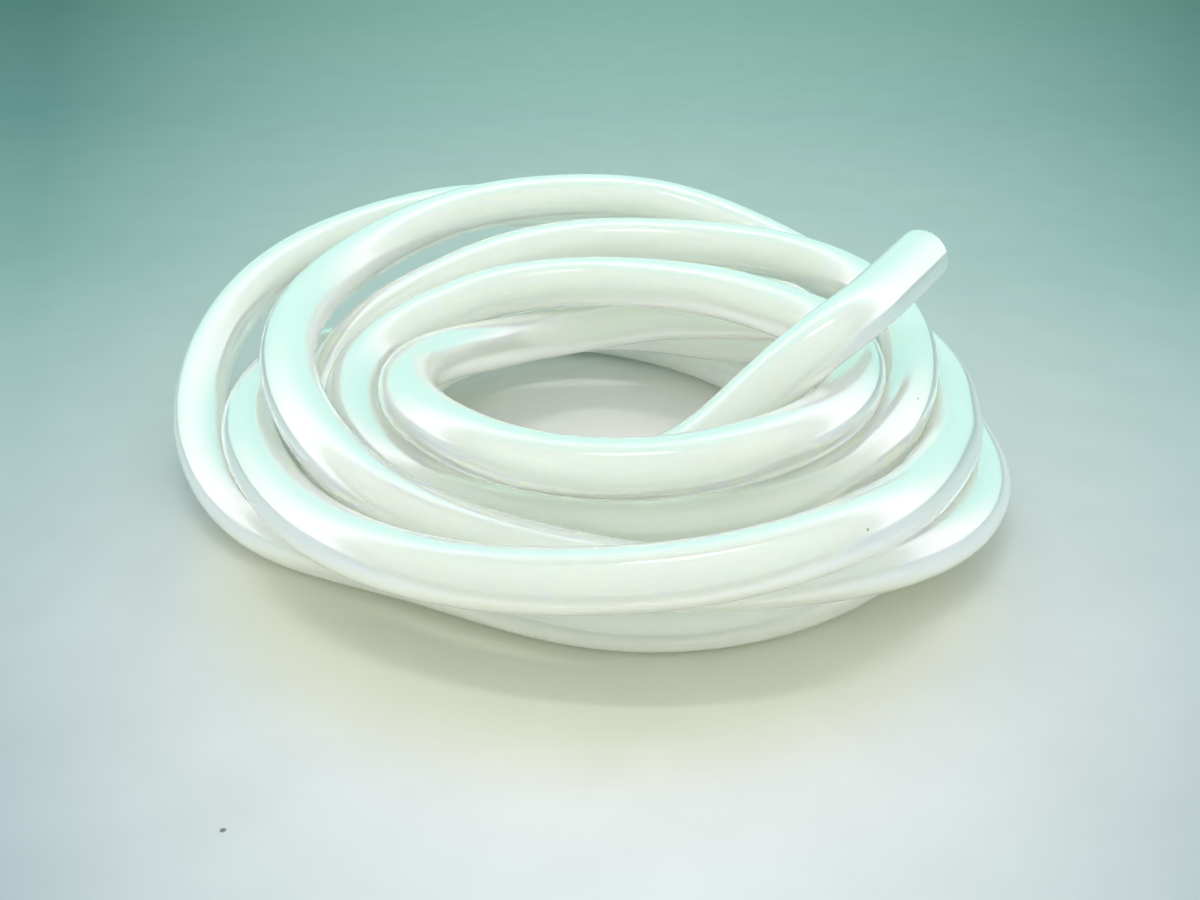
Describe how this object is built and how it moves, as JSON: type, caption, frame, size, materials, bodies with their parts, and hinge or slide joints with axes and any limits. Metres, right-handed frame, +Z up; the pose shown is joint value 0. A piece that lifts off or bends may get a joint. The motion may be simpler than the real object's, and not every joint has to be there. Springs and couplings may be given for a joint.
{
  "type": "silicone tubing coil",
  "caption": "Loose hand-wound coil of soft translucent silicone lab tubing, open right through, with one cut end standing up over the turns.",
  "frame": {"origin": "on the table under the centre of the coil's bounding box", "axes": "+Z up from the table, +X towards the side where the free end points, -Y towards the front of the coil"},
  "size_m": [0.1855, 0.1877, 0.0589],
  "materials": {
    "silicone": "satin"
  },
  "bodies": {
    "root": {"tubing": "silicone"}
  },
  "joints": []
}
